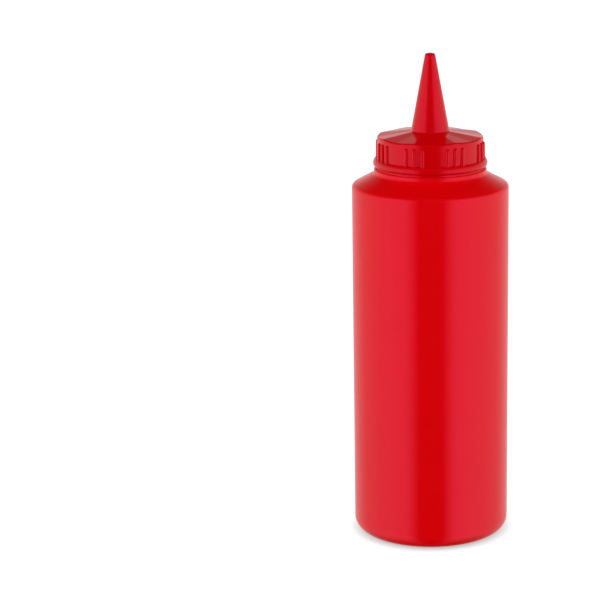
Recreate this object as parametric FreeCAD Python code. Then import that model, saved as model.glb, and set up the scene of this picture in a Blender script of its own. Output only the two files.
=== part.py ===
import FreeCAD, Part

import math
import os

# A squeeze bottle with a screw cap and a tapered nozzle, in millimetres.
# The origin is the centre of the base, +Z is up and -Y is the front. The bottle
# is shut and can't be seen into, so each of its two pieces is solid.

# Bottle: a straight round wall, a flat cone for a shoulder and a short neck
BODY_RADIUS = 34.3
WALL_HEIGHT = 157.3        # base to where the wall would meet the shoulder
SHOULDER_RISE = 5.2
BASE_ROUNDING = 5.8
SHOULDER_ROUNDING = 1.9
NECK_RADIUS = 24.6
NECK_HEIGHT = 2.15
NECK_FOOT_ROUNDING = 1.6
NECK_TOP_ROUNDING = 0.4
GAP_HEIGHT = 0.85          # the dark line between neck and cap
GAP_DEPTH = 1.1

# Cap: a bead at the foot, a round skirt with groups of ribs, and a shallow roof
# folded into ridges, one over each group of ribs, with valleys between them
BEAD_HEIGHT = 3.4
BEAD_FOOT_INSET = 0.35     # from the neck's radius
BEAD_OUTSET = 0.35         # from the neck's radius, at the bead's fullest point
BEAD_FULLEST_HEIGHT = 1.9  # bead's foot to its fullest point
SKIRT_INSET = 1.45         # from the neck's radius
SKIRT_HEIGHT = 9.6         # bead to where the valleys would meet the skirt
RIM_ROUNDING = 0.8
RIDGE_COUNT = 8
VALLEY_SLOPE = 9.3         # degrees
RIDGE_RISE = 0.5           # ridge over valley, at the skirt
FIRST_RIDGE = -62.5        # degrees, from +X towards +Y
RIBS_IN_GROUP = 3
RIB_PITCH = 9.0            # degrees
RIB_RADIUS = 0.95
RIB_TOP_MARGIN = 1.7       # where the valleys meet the skirt to the top of a rib

# Nozzle: a straight cone with a rounded lip and a fine bore
NOZZLE_FOOT_RADIUS = 8.35
NOZZLE_TIP_RADIUS = 2.15
NOZZLE_HEIGHT = 33.85
LIP_ROUNDING = 1.1
BORE_RADIUS = 0.9
BORE_DEPTH = 12.0

UP = FreeCAD.Vector(0, 0, 1)
AXIS_POINT = FreeCAD.Vector(0, 0, 0)

neck_foot_height = WALL_HEIGHT + SHOULDER_RISE
neck_top_height = neck_foot_height + NECK_HEIGHT
seat_height = neck_top_height + GAP_HEIGHT
core_radius = NECK_RADIUS - GAP_DEPTH
bead_top_height = seat_height + BEAD_HEIGHT
skirt_radius = NECK_RADIUS - SKIRT_INSET
rim_height = bead_top_height + SKIRT_HEIGHT
ridge_angle = 360.0 / RIDGE_COUNT
valley_fall = math.tan(math.radians(VALLEY_SLOPE))
ridge_fall = valley_fall - RIDGE_RISE / skirt_radius
roof_apex_height = rim_height + skirt_radius * valley_fall
nozzle_foot_height = roof_apex_height - NOZZLE_FOOT_RADIUS * valley_fall
nozzle_top_height = nozzle_foot_height + NOZZLE_HEIGHT


def polar(radius, angle, height):
    """The point at an angle in degrees from +X towards +Y."""
    turn = math.radians(angle)
    return FreeCAD.Vector(radius * math.cos(turn), radius * math.sin(turn), height)


def arc_at_corner(before, corner, after, rounding):
    """The arc of a given radius that rounds a corner, with its two end points."""
    to_before = (before - corner).normalize()
    to_after = (after - corner).normalize()
    half_angle = to_before.getAngle(to_after) / 2
    reach = rounding / math.tan(half_angle)
    start = corner + to_before * reach
    end = corner + to_after * reach
    towards_centre = (to_before + to_after).normalize()
    centre = corner + towards_centre * (rounding / math.sin(half_angle))
    middle = centre - towards_centre * rounding
    return start, end, Part.Arc(start, middle, end).toShape()


def turned(corners):
    """The solid that a closed outline of (radius, height, rounding) sweeps."""
    points = [FreeCAD.Vector(radius, 0, height) for radius, height, _ in corners]
    edges = []
    starts = []
    ends = []
    arcs = []
    for index, (_, _, rounding) in enumerate(corners):
        corner = points[index]
        if rounding > 0:
            after = points[(index + 1) % len(points)]
            start, end, arc = arc_at_corner(points[index - 1], corner, after, rounding)
        else:
            start, end, arc = corner, corner, None
        starts.append(start)
        ends.append(end)
        arcs.append(arc)
    for index, arc in enumerate(arcs):
        if arc is not None:
            edges.append(arc)
        following = starts[(index + 1) % len(points)]
        edges.append(Part.makeLine(ends[index], following))
    face = Part.Face(Part.Wire(edges))
    return face.revolve(AXIS_POINT, UP, 360)


def make_bottle():
    return turned([
        (0, 0, 0),
        (BODY_RADIUS, 0, BASE_ROUNDING),
        (BODY_RADIUS, WALL_HEIGHT, SHOULDER_ROUNDING),
        (NECK_RADIUS, neck_foot_height, NECK_FOOT_ROUNDING),
        (NECK_RADIUS, neck_top_height, NECK_TOP_ROUNDING),
        (core_radius, neck_top_height, 0),
        (core_radius, seat_height, 0),
        (0, seat_height, 0),
    ])


def make_bead():
    foot = FreeCAD.Vector(NECK_RADIUS - BEAD_FOOT_INSET, 0, seat_height)
    fullest = FreeCAD.Vector(NECK_RADIUS + BEAD_OUTSET, 0, seat_height + BEAD_FULLEST_HEIGHT)
    top = FreeCAD.Vector(NECK_RADIUS - BEAD_FOOT_INSET, 0, bead_top_height)
    axis_foot = FreeCAD.Vector(0, 0, seat_height)
    axis_top = FreeCAD.Vector(0, 0, bead_top_height)
    edges = [
        Part.makeLine(axis_foot, foot),
        Part.Arc(foot, fullest, top).toShape(),
        Part.makeLine(top, axis_top),
        Part.makeLine(axis_top, axis_foot),
    ]
    return Part.Face(Part.Wire(edges)).revolve(AXIS_POINT, UP, 360)


def make_roof():
    """The folded pyramid whose valleys meet the skirt at the rim height."""
    reach = 2 * skirt_radius
    apex = FreeCAD.Vector(0, 0, roof_apex_height)
    top_corners = []
    low_corners = []
    for index in range(2 * RIDGE_COUNT):
        angle = FIRST_RIDGE + index * ridge_angle / 2
        fall = valley_fall if index % 2 else ridge_fall
        top_corners.append(polar(reach, angle, roof_apex_height - reach * fall))
        low_corners.append(polar(reach, angle, 0))
    faces = [Part.Face(Part.makePolygon(low_corners + low_corners[:1]))]
    for index, here in enumerate(top_corners):
        following = (index + 1) % len(top_corners)
        there = top_corners[following]
        faces.append(Part.Face(Part.makePolygon([apex, here, there, apex])))
        wall = [here, there, low_corners[following], low_corners[index], here]
        faces.append(Part.Face(Part.makePolygon(wall)))
    return Part.makeSolid(Part.makeShell(faces))


def make_skirt():
    """The round skirt under its roof, with the wavy rim between them rounded."""
    height = roof_apex_height - bead_top_height
    foot = FreeCAD.Vector(0, 0, bead_top_height)
    sharp = Part.makeCylinder(skirt_radius, height, foot, UP).common(make_roof())
    rim = []
    for edge in sharp.Edges:
        lowest = min(vertex.Z for vertex in edge.Vertexes)
        innermost = min(math.hypot(vertex.X, vertex.Y) for vertex in edge.Vertexes)
        if lowest > rim_height - RIDGE_RISE and innermost > skirt_radius - RIM_ROUNDING:
            rim.append(edge)
    return sharp.makeFillet(RIM_ROUNDING, rim)


def make_rib(angle):
    """An upright half-round rib with a domed top."""
    top_height = rim_height - RIB_TOP_MARGIN - RIB_RADIUS
    foot = polar(skirt_radius, angle, bead_top_height)
    rod = Part.makeCylinder(RIB_RADIUS, top_height - bead_top_height, foot, UP)
    dome = Part.makeSphere(RIB_RADIUS, polar(skirt_radius, angle, top_height))
    return rod.fuse(dome)


def make_ribs():
    ribs = []
    for group in range(RIDGE_COUNT):
        middle = FIRST_RIDGE + group * ridge_angle
        for index in range(RIBS_IN_GROUP):
            offset = (index - (RIBS_IN_GROUP - 1) / 2) * RIB_PITCH
            ribs.append(make_rib(middle + offset))
    return ribs


def make_nozzle():
    """The cone, started inside the cap so that it meets ridges and valleys."""
    taper = (NOZZLE_FOOT_RADIUS - NOZZLE_TIP_RADIUS) / NOZZLE_HEIGHT
    start_radius = NOZZLE_FOOT_RADIUS + (nozzle_foot_height - bead_top_height) * taper
    cone = turned([
        (0, bead_top_height, 0),
        (start_radius, bead_top_height, 0),
        (NOZZLE_TIP_RADIUS, nozzle_top_height, LIP_ROUNDING),
        (0, nozzle_top_height, 0),
    ])
    bore_foot = FreeCAD.Vector(0, 0, nozzle_top_height - BORE_DEPTH)
    bore = Part.makeCylinder(BORE_RADIUS, BORE_DEPTH, bore_foot, UP)
    return cone, bore


def make_cap():
    cone, bore = make_nozzle()
    cap = make_bead().fuse([make_skirt(), cone] + make_ribs())
    return cap.cut(bore).removeSplitter()


def save(shape, node):
    solids = shape.Solids
    if len(solids) != 1 or not shape.isValid():
        raise ValueError(node + " is not one valid solid")
    solid = solids[0]
    solid.exportStep("parts/" + node + ".step")
    box = solid.optimalBoundingBox()
    print(node, "volume", round(solid.Volume / 1000, 2), "cm3, height", round(box.ZMin, 2), "to",
          round(box.ZMax, 2), "width", round(box.XLength, 2))


os.makedirs("parts", exist_ok=True)
save(make_bottle(), "bottle")
save(make_cap(), "cap")
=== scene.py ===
import math

import bmesh
import bpy
from bpy.props import FloatProperty, FloatVectorProperty, IntProperty, PointerProperty
from mathutils import Matrix, Vector


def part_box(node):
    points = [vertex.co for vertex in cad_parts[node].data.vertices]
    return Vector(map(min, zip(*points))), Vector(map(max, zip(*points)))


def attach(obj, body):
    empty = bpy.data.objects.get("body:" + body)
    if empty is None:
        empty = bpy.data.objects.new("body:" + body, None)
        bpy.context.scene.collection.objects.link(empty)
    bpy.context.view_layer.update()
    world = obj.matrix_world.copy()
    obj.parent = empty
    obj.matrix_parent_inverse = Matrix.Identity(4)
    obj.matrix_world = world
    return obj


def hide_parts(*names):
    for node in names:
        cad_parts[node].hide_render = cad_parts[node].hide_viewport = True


# A red squeeze bottle: a soft blown bottle, and a stiff cap moulded in one with
# its nozzle. Sizes are in metres, +Z is up and -Y is the front.

bl_info = {
    "name": "Squeeze bottle",
    "version": (1, 0, 0),
    "blender": (4, 5, 0),
    "location": "3D View > Sidebar > Squeeze bottle",
    "description": "Makes a red squeeze bottle with a ribbed and ridged nozzle cap",
    "category": "Add Mesh",
}

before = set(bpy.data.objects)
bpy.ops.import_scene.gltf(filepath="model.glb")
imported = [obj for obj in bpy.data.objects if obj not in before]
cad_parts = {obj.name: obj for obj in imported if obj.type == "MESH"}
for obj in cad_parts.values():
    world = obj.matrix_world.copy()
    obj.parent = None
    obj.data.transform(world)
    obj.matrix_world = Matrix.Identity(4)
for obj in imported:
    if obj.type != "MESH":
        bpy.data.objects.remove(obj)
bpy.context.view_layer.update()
bottle_low, bottle_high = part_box("bottle")
cap_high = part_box("cap")[1]

MM = 0.001
BODY_RADIUS = (bottle_high.x - bottle_low.x) / 2
SEAT_HEIGHT = bottle_high.z
TIP_HEIGHT = cap_high.z

SMALL = 0.01 * MM       # a point nearer than this to a plane is in it
MERGE_DISTANCE = 0.001 * MM
ARC_STEPS = 10
BEAD_STEPS = 14
RIB_STEPS = 20
WELD_STEPS = 24
SUPPORT = 0.25          # share of a rounding, from its arc to the points beside it
ROUNDING_REACH = 1.5    # roundings, from a corner to where its flats begin
SHARP_ANGLE = math.radians(30)      # an edge that turns further is shaded sharp
PLASTIC_IOR = 1.5
RUB_RANGE = (0.62, 0.75)            # levels of noise where a rubbed mark starts and is full

# The surroundings that gloss sees. Turns are in degrees from the front, and heights go
# from 0 at the horizon to 1 overhead. A pair is where a change starts and where it ends.
HALF_TURN = 180
GLOSS_ROUND = (         # turns, each with its share of the side light
    (18, 0), (27, 0.5), (37, 1), (62, 0.95), (85, 0.6), (113, 0.33), (150, 0.25), (180, 0.2),
)
GLOSS_OVER = (0.05, 0.65)           # heights over the horizon where the light fades
GLOSS_UNDER = (0.4, 1.1)            # heights under the horizon where the light fades
GLOSS_BEHIND = (0.9, 0.98)          # shares of a half turn where the back light comes in
GLOSS_BEHIND_OVER = (-0.1, 0.05)    # heights where the back light comes in
WARM_FROM = 120                     # turn past which the light is redder


def length(name, description, millimetres, **limits):
    """A size that a user can change, in metres."""
    return FloatProperty(name=name, description=description, default=millimetres * MM,
                         unit="LENGTH", subtype="DISTANCE", precision=5, **limits)


def angle(name, description, degrees):
    """An angle that a user can change, given in degrees."""
    return FloatProperty(name=name, description=description, default=math.radians(degrees),
                         unit="ROTATION", subtype="ANGLE")


def number(name, description, value, **limits):
    """A number without a unit that a user can change."""
    return FloatProperty(name=name, description=description, default=value, **limits)


def colour(name, description, value):
    """A colour that a user can change."""
    return FloatVectorProperty(name=name, description=description, default=value,
                               subtype="COLOR", size=3, min=0.0, max=1.0)


class BottleSizes(bpy.types.PropertyGroup):
    """Sizes of the blown bottle."""
    shoulder_height: length("Shoulder height", "Base to where wall and shoulder would meet", 157.3)
    shoulder_rise: length("Shoulder rise", "Height of the flat cone of the shoulder", 5.2)
    base_rounding: length("Base rounding", "Radius between the wall and the base", 5.8)
    shoulder_rounding: length("Shoulder rounding", "Radius between wall and shoulder", 1.9)
    neck_radius: length("Neck radius", "Radius of the ring above the shoulder", 24.6)
    neck_height: length("Neck height", "Height of the ring above the shoulder", 2.15)
    neck_foot_rounding: length("Neck foot rounding", "Radius at the foot of the neck", 1.6)
    neck_top_rounding: length("Neck top rounding", "Radius at the top edge of the neck", 0.4)
    gap_depth: length("Gap depth", "How far the line under the cap goes in", 1.1)
    standing_ring: length("Standing ring", "Width of the ring that the bottle stands on", 2.4)
    push_up: length("Push-up", "Depth of the hollow under the base", 1.6)
    push_up_run: length("Push-up run", "Width of the hollow's sloping edge", 3.0)
    push_up_rounding: length("Push-up rounding", "Radius at the hollow's edges", 1.0)
    weld_length: length("Weld length", "Length of the pinched line under the base", 30.0)
    weld_width: length("Weld width", "Width of the pinched line under the base", 0.9)
    weld_height: length("Weld height", "Height of the pinched line under the base", 0.5)
    steps: IntProperty(name="Steps round", description="Steps of a full turn", default=288, min=32)


class CapSizes(bpy.types.PropertyGroup):
    """Sizes of the cap's skirt, ribs and ridged roof."""
    bead_height: length("Bead height", "Height of the rounded bead at the cap's foot", 3.4)
    bead_inset: length("Bead inset", "Bead's foot and top, inside the neck's radius", 0.35)
    bead_outset: length("Bead outset", "Bead's fullest part, outside the neck's radius", 0.35)
    bead_fullest: length("Bead's fullest height", "Bead's foot to its fullest part", 1.9)
    skirt_inset: length("Skirt inset", "Skirt, inside the neck's radius", 1.45)
    skirt_height: length("Skirt height", "Bead to where the valleys would meet the skirt", 9.6)
    skirt_foot_rounding: length("Skirt foot rounding", "Hollow radius between bead and skirt", 0.3)
    rim_rounding: length("Rim rounding", "Radius between the roof and the skirt", 0.8)
    ridges: IntProperty(name="Ridges", description="Ridges of the roof", default=8, min=3)
    valley_slope: angle("Valley slope", "Slope of the roof down a valley", 9.3)
    ridge_rise: length("Ridge rise", "Ridge over valley, at the skirt", 0.5)
    first_ridge: angle("First ridge", "Turn of the first ridge, from +X towards +Y", -62.5)
    ridge_softness: angle("Ridge softness", "How far a ridge is rounded to each side", 1.0)
    ribs_in_group: IntProperty(name="Ribs in group", description="Ribs under each ridge", default=3)
    rib_pitch: angle("Rib pitch", "Turn from one rib to the next", 9.0)
    rib_radius: length("Rib radius", "Radius of the half-round ribs", 0.95)
    rib_margin: length("Rib margin", "Where valleys meet the skirt to the top of a rib", 1.7)
    rib_lean: length("Rib lean", "How much a rib sinks in from foot to top", 0.1)
    steps: IntProperty(name="Steps round", description="Steps of a full turn", default=288, min=32)


class NozzleSizes(bpy.types.PropertyGroup):
    """Sizes of the nozzle."""
    foot_radius: length("Foot radius", "Radius where the cone meets the roof", 8.35)
    tip_radius: length("Tip radius", "Radius at the sharp tip", 2.15)
    lip_rounding: length("Lip rounding", "Radius round the tip", 1.1)
    bore_radius: length("Bore radius", "Radius of the outlet", 0.9)
    bore_depth: length("Bore depth", "Depth of the outlet that is modelled", 12.0)
    foot_rounding: length("Foot rounding", "Hollow radius between cone and roof", 0.5)


class PlasticLook(bpy.types.PropertyGroup):
    """Colours, gloss and skin of the two plastics."""
    bottle_colour: colour("Bottle colour", "Red of the soft bottle", (0.80, 0.0003, 0.002))
    cap_colour: colour("Cap colour", "Red of the stiff cap", (0.65, 0.0003, 0.002))
    clouding: number("Clouding", "How much deeper the red is in clouds", 0.05, min=0.0, max=1.0)
    bottle_roughness: number("Bottle roughness", "Roughness of the bottle", 0.15, min=0.0, max=1.0)
    cap_roughness: number("Cap roughness", "Roughness of the cap", 0.14, min=0.0, max=1.0)
    bottle_gloss: number("Bottle gloss", "Strength of the bottle's gloss", 0.5, min=0.0, max=1.0)
    cap_gloss: number("Cap gloss", "Strength of the cap's gloss", 0.7, min=0.0, max=1.0)
    bottle_tint: colour("Bottle gloss tint", "Bottle's gloss, seen straight on", (0.9, 0.18, 0.36))
    cap_tint: colour("Cap gloss tint", "Cap's gloss, seen straight on", (0.87, 0.085, 0.19))
    patchiness: number("Patchiness", "How much roughness varies in patches", 0.03, min=0.0, max=1.0)
    rubbing: number("Rubbing", "Extra roughness in fine rubbed marks", 0.05, min=0.0, max=1.0)
    cloud_size: length("Cloud size", "Size of the soft clouds in the red", 14.0)
    patch_size: length("Patch size", "Size of the soft patches in the gloss", 7.0)
    rub_length: length("Rub length", "Length of the fine rubbed marks", 12.0)
    rub_width: length("Rub width", "Width of the fine rubbed marks", 0.35)
    skin_size: length("Skin size", "Size of the grains of the moulded skin", 0.8)
    skin_depth: length("Skin depth", "Depth of the moulded skin", 0.004)
    wave_size: length("Wave size", "Size of the slow waves in the blown wall", 24.0)
    wave_depth: length("Wave depth", "Depth of the slow waves in the blown wall", 0.06)
    seam_width: length("Seam width", "Width of the mould's parting line", 0.35)
    seam_height: length("Seam height", "Height of the mould's parting line", 0.03)


class StudioSizes(bpy.types.PropertyGroup):
    """The camera, the floor, the lamps and the surroundings."""
    camera_distance: length("Camera distance", "Camera's distance in front of the axis", 996.9)
    camera_height: length("Camera height", "Camera's height above the floor", 356.7)
    camera_tilt: angle("Camera tilt", "How far the camera looks down", 14.1785)
    camera_roll: angle("Camera roll", "Turn of the camera about its line of sight", -0.12)
    lens: number("Lens", "Focal length in millimetres", 139.43)
    shift: number("Shift", "How far the frame is moved sideways", -0.2176)
    shift_up: number("Shift up", "How far the frame is moved upwards", 0.0005)
    floor_size: length("Floor size", "Side of the square floor", 9000.0)
    floor_colour: colour("Floor colour", "Pale grey of the floor", (0.72, 0.72, 0.72))
    floor_gain: number("Floor gain", "How much of the lit floor the camera sees", 0.25, min=0.0)
    floor_lift: number("Floor lift", "Light added to the floor for the camera", 1.05, min=0.0)
    contact_reach: length("Contact shadow", "Reach of the soft shade at the foot", 6.0)
    contact_light: number("Contact light", "Added light at the foot", 0.4, min=0.0, max=1.0)
    lamp_power: number("Lamp power", "Power of each side softbox in watts", 2.4, min=0.0)
    lamp_distance: length("Lamp distance", "Axis to each softbox", 900.0)
    lamp_size: length("Lamp size", "Side of each softbox", 800.0)
    lamp_turn: angle("Lamp turn", "Turn of each softbox from the front", 68.0)
    lamp_rise: angle("Lamp rise", "How high each softbox stands over the floor", 28.0)
    sky: number("Surroundings", "Brightness of the surroundings at the horizon", 1.5, min=0.0)
    gloss_light: number("Side light in gloss", "Brightness of the sides in gloss", 2.6, min=0.0)
    back_light: number("Back light in gloss", "Extra share of light behind in gloss", 0.25, min=0.0)
    back_warmth: number("Back warmth", "How much redder the gloss is at the edges", 0.4, min=0.0)


class SqueezeBottleSettings(bpy.types.PropertyGroup):
    """Everything that the sidebar shows."""
    bottle: PointerProperty(type=BottleSizes)
    cap: PointerProperty(type=CapSizes)
    nozzle: PointerProperty(type=NozzleSizes)
    look: PointerProperty(type=PlasticLook)
    studio: PointerProperty(type=StudioSizes)


# Outlines, turned shapes and pieces


def around(centre, start, end, steps):
    """Points from start to end, two arms of the same length turned about a centre."""
    return [centre + start.slerp(end, step / steps) * start.length for step in range(steps + 1)]


def arc(start, middle, end, steps):
    """Points from start to end along the circle through three points."""
    chord = end - start
    side = middle - start
    normal = side.cross(chord)
    centre = start + (normal.cross(side) * chord.length_squared
                      + chord.cross(normal) * side.length_squared) / (2 * normal.length_squared)
    return around(centre, start - centre, end - centre, steps)


def rounded(corners):
    """Points of an outline of (radius, height, rounding), with an arc at each rounding."""
    sharp = [Vector((radius, 0, height)) for radius, height, _ in corners]
    points = []
    for index, (_, _, rounding) in enumerate(corners):
        corner = sharp[index]
        if rounding <= 0:
            points.append(corner)
            continue
        before = (sharp[index - 1] - corner).normalized()
        after = (sharp[index + 1] - corner).normalized()
        half = before.angle(after) / 2
        reach = rounding / math.tan(half)
        inward = (before + after).normalized()
        centre = corner + inward * (rounding / math.sin(half))
        start = corner + before * reach - centre
        end = corner + after * reach - centre
        # A point just before and after the arc keeps the straight stretches flat
        support = rounding * SUPPORT
        points.append(centre + start + before * support)
        points += around(centre, start, end, ARC_STEPS)
        points.append(centre + end + after * support)
    return points


def turned(points, steps):
    """A bmesh of an outline spun round the axis."""
    bm = bmesh.new()
    verts = [bm.verts.new(point) for point in points]
    edges = [bm.edges.new(pair) for pair in zip(verts, verts[1:])]
    bmesh.ops.spin(bm, geom=verts + edges, cent=(0, 0, 0), axis=(0, 0, 1), dvec=(0, 0, 0),
                   angle=math.tau, steps=steps, use_merge=True, use_normal_flip=False,
                   use_duplicate=False)
    bmesh.ops.remove_doubles(bm, verts=bm.verts[:], dist=MERGE_DISTANCE)
    bmesh.ops.recalc_face_normals(bm, faces=bm.faces[:])
    return bm


def make_piece(name, bm, material, node):
    """The finished mesh as a piece that rides on the body and stands for a CAD node."""
    for edge in bm.edges:
        edge.smooth = edge.calc_face_angle(0) < SHARP_ANGLE
    mesh = bpy.data.meshes.new(name)
    bm.to_mesh(mesh)
    bm.free()
    for polygon in mesh.polygons:
        polygon.use_smooth = True
    mesh.materials.append(material)
    piece = bpy.data.objects.new(name, mesh)
    bpy.context.scene.collection.objects.link(piece)
    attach(piece, "root")
    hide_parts(node)
    return piece


# Materials


def feed(tree, socket, value):
    """Link a socket to another one, or set it to a number or a colour."""
    if isinstance(value, bpy.types.NodeSocket):
        tree.links.new(value, socket)
    else:
        socket.default_value = value


def worked(tree, operation, *values):
    """The output of a Math node."""
    node = tree.nodes.new("ShaderNodeMath")
    node.operation = operation
    for socket, value in zip(node.inputs, values):
        feed(tree, socket, value)
    return node.outputs[0]


def chosen(tree, factor, without, within, kind="FLOAT"):
    """A number, or a colour, that goes from one to another with a factor from 0 to 1."""
    node = tree.nodes.new("ShaderNodeMix")
    node.data_type = kind
    feed(tree, node.inputs["Factor"], factor)
    feed(tree, node.inputs["A"], without)
    feed(tree, node.inputs["B"], within)
    return node.outputs["Result"]


def eased(tree, value, low, high):
    """0 below the low value and 1 above the high one, smooth between them."""
    node = tree.nodes.new("ShaderNodeMapRange")
    node.interpolation_type = "SMOOTHSTEP"
    feed(tree, node.inputs["Value"], value)
    node.inputs["From Min"].default_value = low
    node.inputs["From Max"].default_value = high
    return node.outputs["Result"]


def noise(tree, place, size, detail, stretch=(1, 1, 1)):
    """Noise of a given size in metres, longer along an axis whose stretch is over 1."""
    mapping = tree.nodes.new("ShaderNodeMapping")
    tree.links.new(place, mapping.inputs["Vector"])
    mapping.inputs["Scale"].default_value = [1 / (size * share) for share in stretch]
    texture = tree.nodes.new("ShaderNodeTexNoise")
    tree.links.new(mapping.outputs["Vector"], texture.inputs["Vector"])
    texture.inputs["Scale"].default_value = 1
    texture.inputs["Detail"].default_value = detail
    return texture.outputs["Fac"]


def bumped(tree, height, depth, under=None):
    """A normal pushed by a height from 0 to 1 of a given depth, over another normal."""
    node = tree.nodes.new("ShaderNodeBump")
    node.inputs["Distance"].default_value = depth
    tree.links.new(height, node.inputs["Height"])
    if under is not None:
        tree.links.new(under, node.inputs["Normal"])
    return node.outputs["Normal"]


def plastic(name, look, base, roughness, gloss_level, tint):
    """Red plastic coloured all through: soft clouds, a moulded skin, rubbed marks."""
    material = bpy.data.materials.new(name)
    material.use_nodes = True
    tree = material.node_tree
    shader = tree.nodes["Principled BSDF"]
    shader.inputs["IOR"].default_value = PLASTIC_IOR
    shader.inputs["Specular IOR Level"].default_value = gloss_level
    shader.inputs["Specular Tint"].default_value = (*tint, 1)
    place = tree.nodes.new("ShaderNodeTexCoord").outputs["Object"]

    clouds = noise(tree, place, look.cloud_size, detail=3)
    deep = [channel * (1 - look.clouding) for channel in base]
    red = chosen(tree, clouds, (*base, 1), (*deep, 1), "RGBA")
    tree.links.new(red, shader.inputs["Base Color"])

    patches = noise(tree, place, look.patch_size, detail=4)
    gloss = chosen(tree, patches, roughness - look.patchiness, roughness + look.patchiness)
    along = look.rub_length / look.rub_width
    for stretch in ((along, along, 1), (1, 1, along)):
        streaks = noise(tree, place, look.rub_width, detail=2, stretch=stretch)
        marks = eased(tree, streaks, *RUB_RANGE)
        gloss = worked(tree, "ADD", gloss, worked(tree, "MULTIPLY", marks, look.rubbing))
    tree.links.new(gloss, shader.inputs["Roughness"])

    skin = bumped(tree, noise(tree, place, look.skin_size, detail=3), look.skin_depth)
    tree.links.new(skin, shader.inputs["Normal"])
    return material, tree, place, skin


def blown(tree, place, skin, look):
    """Add the slow waves and the two parting lines of a blown wall."""
    waves = bumped(tree, noise(tree, place, look.wave_size, detail=0), look.wave_depth, skin)
    parts = tree.nodes.new("ShaderNodeSeparateXYZ")
    tree.links.new(place, parts.inputs[0])
    aside = worked(tree, "ABSOLUTE", parts.outputs["Y"])
    line = worked(tree, "SUBTRACT", 1, eased(tree, aside, 0, look.seam_width / 2))
    seam = bumped(tree, line, look.seam_height, waves)
    tree.links.new(seam, tree.nodes["Principled BSDF"].inputs["Normal"])


# Operators


class MakeBottle(bpy.types.Operator):
    """Make the blown bottle"""
    bl_idname = "squeeze_bottle.make_bottle"
    bl_label = "Bottle"

    def execute(self, context):
        sizes = context.scene.squeeze_bottle.bottle
        look = context.scene.squeeze_bottle.look
        neck_foot = sizes.shoulder_height + sizes.shoulder_rise
        neck_top = neck_foot + sizes.neck_height
        core = sizes.neck_radius - sizes.gap_depth
        ring_edge = BODY_RADIUS - sizes.base_rounding - sizes.standing_ring
        hollow_edge = ring_edge - sizes.push_up_run
        outline = rounded([
            (0, sizes.push_up, 0),
            (hollow_edge, sizes.push_up, sizes.push_up_rounding),
            (ring_edge, 0, sizes.push_up_rounding),
            (BODY_RADIUS, 0, sizes.base_rounding),
            (BODY_RADIUS, sizes.shoulder_height, sizes.shoulder_rounding),
            (sizes.neck_radius, neck_foot, sizes.neck_foot_rounding),
            (sizes.neck_radius, neck_top, sizes.neck_top_rounding),
            (core, neck_top, 0),
            (core, SEAT_HEIGHT, 0),
            (0, SEAT_HEIGHT, 0),
        ])
        bm = turned(outline, sizes.steps)
        add_weld(bm, sizes)
        material, tree, place, skin = plastic(
            "soft_red_plastic", look, look.bottle_colour, look.bottle_roughness,
            look.bottle_gloss, look.bottle_tint)
        blown(tree, place, skin, look)
        make_piece("blown_bottle", bm, material, "bottle")
        return {"FINISHED"}


def add_weld(bm, sizes):
    """The line where the mould pinched the bottle shut, inside the hollow of the base."""
    end = sizes.weld_width / 2
    made = bmesh.ops.create_uvsphere(bm, u_segments=WELD_STEPS, v_segments=WELD_STEPS // 2,
                                     radius=end)
    reach = sizes.weld_length / 2 - end
    for vert in made["verts"]:
        if vert.co.x > SMALL:
            vert.co.x += reach
        elif vert.co.x < -SMALL:
            vert.co.x -= reach
        vert.co.z = vert.co.z / end * sizes.weld_height + sizes.push_up


def roof_fall(sizes, skirt, turn):
    """How much the roof falls for each unit of radius at a turn round the axis."""
    half = math.pi / sizes.ridges
    from_ridge = (turn - sizes.first_ridge) % (2 * half)
    from_ridge = min(from_ridge, 2 * half - from_ridge)
    from_valley = half - math.hypot(from_ridge, sizes.ridge_softness)
    valley = math.tan(sizes.valley_slope)
    ridge = valley - sizes.ridge_rise / skirt
    across = (ridge - valley * math.cos(half)) / math.sin(half)
    return valley * math.cos(from_valley) + across * math.sin(from_valley)


def fold_roof(bm, sizes, skirt, lowest, highest):
    """Lift a plain cone, between two heights, into the roof's ridges."""
    valley_fall = math.tan(sizes.valley_slope)
    for vert in bm.verts:
        if lowest < vert.co.z < highest:
            radius = math.hypot(vert.co.x, vert.co.y)
            turn = math.atan2(vert.co.y, vert.co.x)
            vert.co.z += radius * (valley_fall - roof_fall(sizes, skirt, turn))


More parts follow.
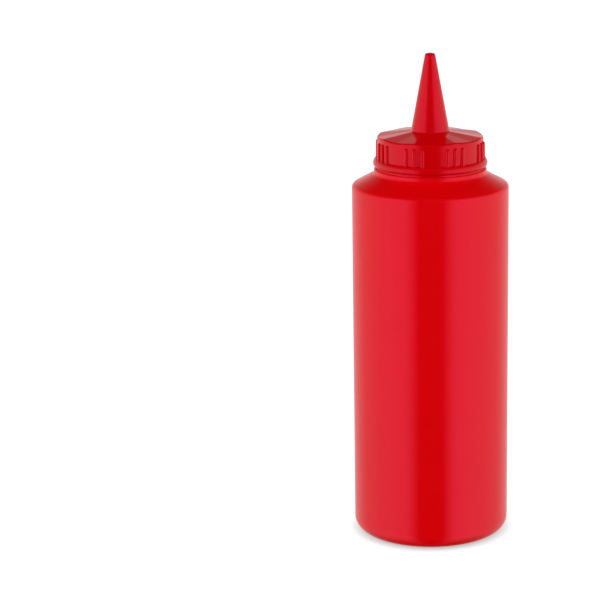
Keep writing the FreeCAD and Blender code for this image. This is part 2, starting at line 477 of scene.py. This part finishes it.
class MakeCap(bpy.types.Operator):
    """Make the cap's bead, skirt and ridged roof, with the nozzle"""
    bl_idname = "squeeze_bottle.make_cap"
    bl_label = "Cap and nozzle"

    def execute(self, context):
        bottle = context.scene.squeeze_bottle.bottle
        sizes = context.scene.squeeze_bottle.cap
        nozzle = context.scene.squeeze_bottle.nozzle
        look = context.scene.squeeze_bottle.look
        skirt = bottle.neck_radius - sizes.skirt_inset
        bead_top = SEAT_HEIGHT + sizes.bead_height
        rim = bead_top + sizes.skirt_height
        foot = rim + (skirt - nozzle.foot_radius) * math.tan(sizes.valley_slope)
        bead_edge = bottle.neck_radius - sizes.bead_inset
        bead_full = bottle.neck_radius + sizes.bead_outset
        outline = [Vector((0, 0, SEAT_HEIGHT))]
        outline += arc(Vector((bead_edge, 0, SEAT_HEIGHT)),
                       Vector((bead_full, 0, SEAT_HEIGHT + sizes.bead_fullest)),
                       Vector((bead_edge, 0, bead_top)), BEAD_STEPS)
        # The arc ends at the first of these corners, which is left out here
        outline += rounded([
            (bead_edge, bead_top, 0),
            (skirt, bead_top, sizes.skirt_foot_rounding),
            (skirt, rim, sizes.rim_rounding),
            (nozzle.foot_radius, foot, nozzle.foot_rounding),
            (nozzle.tip_radius, TIP_HEIGHT, nozzle.lip_rounding),
            (nozzle.bore_radius, TIP_HEIGHT, 0),
            (nozzle.bore_radius, TIP_HEIGHT - nozzle.bore_depth, 0),
            (0, TIP_HEIGHT - nozzle.bore_depth, 0),
        ])[1:]
        bm = turned(outline, sizes.steps)
        fold_roof(bm, sizes, skirt, rim - ROUNDING_REACH * sizes.rim_rounding,
                  foot + ROUNDING_REACH * nozzle.foot_rounding)
        material = plastic("stiff_red_plastic", look, look.cap_colour, look.cap_roughness,
                           look.cap_gloss, look.cap_tint)[0]
        make_piece("nozzle_cap", bm, material, "cap")
        return {"FINISHED"}


class MakeRibs(bpy.types.Operator):
    """Make the groups of half-round ribs on the cap's skirt"""
    bl_idname = "squeeze_bottle.make_ribs"
    bl_label = "Ribs"

    def execute(self, context):
        bottle = context.scene.squeeze_bottle.bottle
        sizes = context.scene.squeeze_bottle.cap
        bead_top = SEAT_HEIGHT + sizes.bead_height
        skirt = bottle.neck_radius - sizes.skirt_inset
        top = bead_top + sizes.skirt_height - sizes.rib_margin - sizes.rib_radius
        bm = bmesh.new()
        for group in range(sizes.ridges):
            middle = sizes.first_ridge + group * math.tau / sizes.ridges
            for index in range(sizes.ribs_in_group):
                turn = middle + (index - (sizes.ribs_in_group - 1) / 2) * sizes.rib_pitch
                add_rib(bm, sizes.rib_radius, bead_top - sizes.rib_radius, top,
                        skirt, skirt - sizes.rib_lean, turn)
        material = bpy.data.materials["stiff_red_plastic"]
        make_piece("ribs", bm, material, "cap")
        return {"FINISHED"}


def add_rib(bm, radius, foot, top, foot_out, top_out, turn):
    """A rod with a domed top, its foot and top set out from the axis, at a turn round it."""
    ball = bmesh.ops.create_uvsphere(bm, u_segments=RIB_STEPS, v_segments=RIB_STEPS,
                                     radius=radius)["verts"]
    lower = [vert for vert in ball if vert.co.z < -SMALL]
    bmesh.ops.delete(bm, geom=lower, context="VERTS")
    dome = [vert for vert in ball if vert.is_valid]
    # Earlier ribs are closed, so only this one has an open rim
    rim = [edge for edge in bm.edges if edge.is_boundary]
    rod = bmesh.ops.extrude_edge_only(bm, edges=rim)["geom"]
    low = [item for item in rod if isinstance(item, bmesh.types.BMVert)]
    low_edges = [item for item in rod
                 if isinstance(item, bmesh.types.BMEdge) and item.is_boundary]
    bmesh.ops.translate(bm, verts=dome, vec=(top_out, 0, top))
    bmesh.ops.translate(bm, verts=low, vec=(foot_out, 0, foot))
    bmesh.ops.contextual_create(bm, geom=low_edges)
    bmesh.ops.rotate(bm, verts=dome + low, cent=(0, 0, 0), matrix=Matrix.Rotation(turn, 3, "Z"))


class MakeStudio(bpy.types.Operator):
    """Make the camera, the floor, the lamps and the surroundings"""
    bl_idname = "squeeze_bottle.make_studio"
    bl_label = "Studio"

    def execute(self, context):
        studio = context.scene.squeeze_bottle.studio
        make_camera(context.scene, studio)
        make_floor(studio)
        make_lamps(studio)
        make_world(context.scene, studio)
        context.scene.view_settings.view_transform = "Standard"
        return {"FINISHED"}


def make_camera(scene, studio):
    """A camera in front of the bottle, looking down and turned a little."""
    data = bpy.data.cameras.new("camera")
    data.lens = studio.lens
    data.shift_x = studio.shift
    data.shift_y = studio.shift_up
    camera = bpy.data.objects.new("camera", data)
    camera.location = (0, -studio.camera_distance, studio.camera_height)
    facing = Matrix.Rotation(math.pi / 2 - studio.camera_tilt, 3, "X")
    camera.rotation_euler = (facing @ Matrix.Rotation(studio.camera_roll, 3, "Z")).to_euler()
    scene.collection.objects.link(camera)
    scene.camera = camera


def make_floor(studio):
    """A wide square floor at the bottle's foot."""
    bm = bmesh.new()
    bmesh.ops.create_grid(bm, x_segments=1, y_segments=1, size=studio.floor_size / 2)
    mesh = bpy.data.meshes.new("floor")
    bm.to_mesh(mesh)
    bm.free()
    mesh.materials.append(pale_floor(studio))
    floor = bpy.data.objects.new("floor", mesh)
    bpy.context.scene.collection.objects.link(floor)


def pale_floor(studio):
    """Pale, with a soft line of shade at the foot, and see-through in reflections."""
    material = bpy.data.materials.new("pale_floor")
    material.use_nodes = True
    tree = material.node_tree
    tree.nodes.remove(tree.nodes["Principled BSDF"])
    path = tree.nodes.new("ShaderNodeLightPath")
    seen = path.outputs["Is Camera Ray"]

    lit = tree.nodes.new("ShaderNodeBsdfDiffuse")
    full = (*studio.floor_colour, 1)
    dimmed = (*[channel * studio.floor_gain for channel in studio.floor_colour], 1)
    tree.links.new(chosen(tree, seen, full, dimmed, "RGBA"), lit.inputs["Color"])

    contact = tree.nodes.new("ShaderNodeAmbientOcclusion")
    contact.inputs["Distance"].default_value = studio.contact_reach
    at_foot = studio.floor_lift * studio.contact_light
    shade = chosen(tree, contact.outputs["AO"], at_foot, studio.floor_lift)
    lift = tree.nodes.new("ShaderNodeEmission")
    tree.links.new(worked(tree, "MULTIPLY", seen, shade), lift.inputs["Strength"])

    shown = tree.nodes.new("ShaderNodeAddShader")
    tree.links.new(lit.outputs[0], shown.inputs[0])
    tree.links.new(lift.outputs[0], shown.inputs[1])
    clear = tree.nodes.new("ShaderNodeBsdfTransparent")
    surface = tree.nodes.new("ShaderNodeMixShader")
    tree.links.new(path.outputs["Is Glossy Ray"], surface.inputs[0])
    tree.links.new(shown.outputs[0], surface.inputs[1])
    tree.links.new(clear.outputs[0], surface.inputs[2])
    tree.links.new(surface.outputs[0], tree.nodes["Material Output"].inputs["Surface"])
    return material


def make_lamps(studio):
    """Two side softboxes, which light the plastic but leave no spots on its gloss."""
    for side in (-1, 1):
        data = bpy.data.lights.new("softbox", "AREA")
        data.shape = "SQUARE"
        data.size = studio.lamp_size
        data.energy = studio.lamp_power
        lamp = bpy.data.objects.new("softbox", data)
        across = studio.lamp_distance * math.cos(studio.lamp_rise)
        lamp.location = (side * across * math.sin(studio.lamp_turn),
                         -across * math.cos(studio.lamp_turn),
                         TIP_HEIGHT / 2 + studio.lamp_distance * math.sin(studio.lamp_rise))
        aim = Vector((0, 0, TIP_HEIGHT / 2)) - lamp.location
        lamp.rotation_euler = aim.to_track_quat("-Z", "Y").to_euler()
        lamp.visible_glossy = False
        bpy.context.scene.collection.objects.link(lamp)


def make_world(scene, studio):
    """White to the camera, lit from the horizon, and with bright sides in the gloss."""
    world = bpy.data.worlds.new("white_surroundings")
    world.use_nodes = True
    tree = world.node_tree
    path = tree.nodes.new("ShaderNodeLightPath")
    direction = tree.nodes.new("ShaderNodeTexCoord").outputs["Generated"]
    parts = tree.nodes.new("ShaderNodeSeparateXYZ")
    tree.links.new(direction, parts.inputs[0])
    height = parts.outputs["Z"]
    lighting = worked(tree, "SUBTRACT", 1, worked(tree, "MAXIMUM", height, 0))
    lighting = worked(tree, "MULTIPLY", lighting, studio.sky)

    forwards = worked(tree, "MULTIPLY", parts.outputs["Y"], -1)
    turn = worked(tree, "ABSOLUTE", worked(tree, "ARCTAN2", parts.outputs["X"], forwards))
    sides = tree.nodes.new("ShaderNodeValToRGB")
    half_turns = worked(tree, "DIVIDE", turn, math.pi)
    tree.links.new(half_turns, sides.inputs["Fac"])
    stops = sides.color_ramp.elements
    while len(stops) < len(GLOSS_ROUND):
        stops.new(position=0.5)     # any place will do, because each is set below
    for stop, (degrees, share) in zip(stops, GLOSS_ROUND):
        stop.position = degrees / HALF_TURN
        warmth = studio.back_warmth if degrees > WARM_FROM else 0
        stop.color = (share * (1 + warmth), share, share, 1)
    over = eased(tree, height, *GLOSS_OVER)
    under = eased(tree, worked(tree, "MULTIPLY", height, -1), *GLOSS_UNDER)
    faded = worked(tree, "MULTIPLY", over, studio.gloss_light)
    level = worked(tree, "SUBTRACT", studio.gloss_light, faded)
    level = worked(tree, "MULTIPLY", level, worked(tree, "SUBTRACT", 1, under))
    behind = worked(tree, "MULTIPLY", eased(tree, half_turns, *GLOSS_BEHIND),
                    eased(tree, height, *GLOSS_BEHIND_OVER))
    behind = worked(tree, "ADD", 1, worked(tree, "MULTIPLY", behind, studio.back_light))
    level = worked(tree, "MULTIPLY", level, behind)

    strength = chosen(tree, path.outputs["Is Glossy Ray"], lighting, level)
    strength = chosen(tree, path.outputs["Is Camera Ray"], strength, 1)
    shown = chosen(tree, path.outputs["Is Glossy Ray"], (1, 1, 1, 1),
                   sides.outputs["Color"], "RGBA")
    background = tree.nodes["Background"]
    tree.links.new(shown, background.inputs["Color"])
    tree.links.new(strength, background.inputs["Strength"])
    scene.world = world


class SqueezeBottlePanel(bpy.types.Panel):
    """The pieces of the squeeze bottle, with their sizes"""
    bl_idname = "VIEW3D_PT_squeeze_bottle"
    bl_label = "Squeeze bottle"
    bl_space_type = "VIEW_3D"
    bl_region_type = "UI"
    bl_category = "Squeeze bottle"

    def draw(self, context):
        settings = context.scene.squeeze_bottle
        sections = (
            (settings.bottle, (MakeBottle,)),
            (settings.cap, (MakeCap, MakeRibs)),
            (settings.nozzle, ()),
            (settings.look, ()),
            (settings.studio, (MakeStudio,)),
        )
        for group, operators in sections:
            box = self.layout.box()
            for name in group.bl_rna.properties.keys():
                if name not in ("rna_type", "name"):
                    box.prop(group, name)
            for operator in operators:
                box.operator(operator.bl_idname)


CLASSES = (
    BottleSizes,
    CapSizes,
    NozzleSizes,
    PlasticLook,
    StudioSizes,
    SqueezeBottleSettings,
    MakeBottle,
    MakeCap,
    MakeRibs,
    MakeStudio,
    SqueezeBottlePanel,
)


def register():
    for made in CLASSES:
        bpy.utils.register_class(made)
    bpy.types.Scene.squeeze_bottle = PointerProperty(type=SqueezeBottleSettings)


def unregister():
    del bpy.types.Scene.squeeze_bottle
    for made in reversed(CLASSES):
        bpy.utils.unregister_class(made)


def main():
    register()
    bpy.ops.squeeze_bottle.make_bottle()
    bpy.ops.squeeze_bottle.make_cap()
    bpy.ops.squeeze_bottle.make_ribs()
    bpy.ops.squeeze_bottle.make_studio()


if __name__ == "__main__":
    main()
